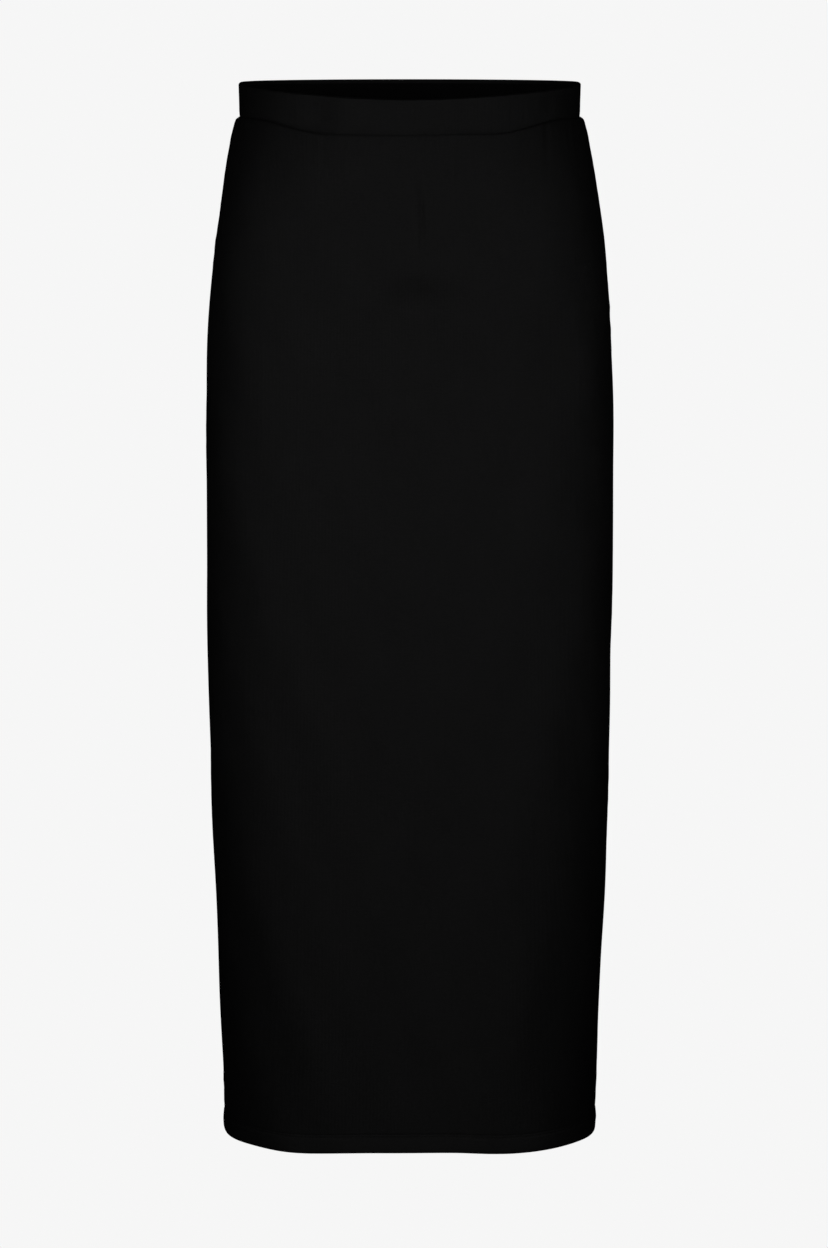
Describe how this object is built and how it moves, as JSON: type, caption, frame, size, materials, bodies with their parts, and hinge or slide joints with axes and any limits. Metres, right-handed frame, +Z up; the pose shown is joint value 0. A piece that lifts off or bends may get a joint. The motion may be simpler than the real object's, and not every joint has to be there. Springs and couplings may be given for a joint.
{
  "type": "midi skirt",
  "caption": "Narrow midi skirt in black double knit, filled out as if worn: plain front and back, elasticated waistband, straight stitched hem.",
  "frame": {"origin": "on the skirt's upright axis, at the middle of the waistband's height at the side seams, where the wearer's waist holds it", "axes": "+Z up, out of the waist opening; -Y the way the front faces; +X towards the wearer's left side"},
  "size_m": [0.333, 0.2236, 0.8727],
  "materials": {
    "black_knit": "matte double knit",
    "black_band": "matte double knit over elastic"
  },
  "bodies": {
    "root": {"front_panel": "black_knit", "back_panel": "black_knit", "waistband_front": "black_band", "waistband_back": "black_band"}
  },
  "joints": []
}
